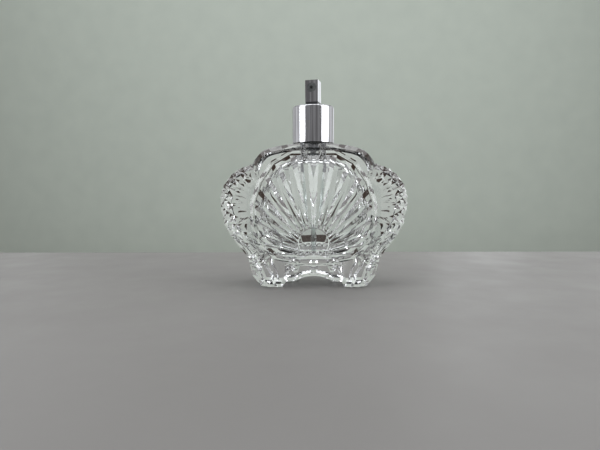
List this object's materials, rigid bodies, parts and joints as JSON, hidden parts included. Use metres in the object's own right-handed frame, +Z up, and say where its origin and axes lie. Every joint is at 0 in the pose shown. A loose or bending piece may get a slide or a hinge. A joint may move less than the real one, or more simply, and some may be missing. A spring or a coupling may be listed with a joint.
{
  "type": "perfume atomiser",
  "caption": "Footed crystal perfume bottle in the form of a fluted scallop shell with scroll wings, closed by a screw-on fine-mist spray pump with a plain chrome collar and square actuator.",
  "frame": {"origin": "under the middle of the bottle, on the plane that its two feet stand on", "axes": "+Z up along the neck, -Y out of the front of the shell, +X to the viewer's right"},
  "size_m": [0.089, 0.035, 0.0975],
  "materials": {
    "crystal": "clear pressed and polished lead crystal",
    "plated_ring": "plated, thread worn satin",
    "cement": "matt plaster",
    "black_rubber": "matt",
    "dark_plastic": "satin moulded",
    "clear_tube": "translucent extruded",
    "steel_wire": "drawn wire",
    "steel_ball": "polished",
    "pale_plastic": "natural moulded",
    "chrome": "polished, light handling wear",
    "black_plastic": "satin moulded",
    "nozzle_plastic": "moulded, semi-gloss"
  },
  "bodies": {
    "bottle": {"bottle": "crystal", "neck_ring": "plated_ring", "ring_cement": "cement"},
    "pump": {"pump_housing": "dark_plastic", "turret": "dark_plastic", "neck_gasket": "black_rubber", "stem_gasket": "black_rubber", "dip_tube": "clear_tube", "return_spring": "steel_wire"},
    "closure": {"closure_liner": "dark_plastic", "collar_shell": "chrome"},
    "stem": {"stem": "pale_plastic", "stem_plug": "pale_plastic"},
    "piston": {"piston": "pale_plastic"},
    "ball": {"valve_ball": "steel_ball"},
    "actuator": {"actuator_core": "black_plastic", "actuator_shell": "chrome", "nozzle_insert": "nozzle_plastic"}
  },
  "joints": [
    {"name": "pump_rise", "type": "slide", "parent": "bottle", "child": "pump", "axis": [0, 0, 1], "range_m": [0, 0.005]},
    {"name": "closure_turn", "type": "hinge", "parent": "pump", "child": "closure", "pos_m": [0, 0, 0.077], "axis": [0, 0, 1], "range_deg": [0, 900]},
    {"name": "stem_press", "type": "slide", "parent": "pump", "child": "stem", "axis": [0, 0, -1], "range_m": [0, 0.0045], "stiffness_N_per_m": 900, "springref_m": -0.0045, "deforming": ["return_spring"]},
    {"name": "piston_slip", "type": "slide", "parent": "stem", "child": "piston", "axis": [0, 0, 1], "range_m": [0, 0.0005]},
    {"name": "ball_lift", "type": "slide", "parent": "pump", "child": "ball", "axis": [0, 0, 1], "range_m": [0, 0.0009]},
    {"name": "actuator_turn", "type": "hinge", "parent": "stem", "child": "actuator", "pos_m": [0, 0, 0.09], "axis": [0, 0, 1], "continuous": true}
  ],
  "couplings": [
    {"joint": "closure_turn", "follows": "pump_rise", "rad_per_m": 3141.6}
  ]
}
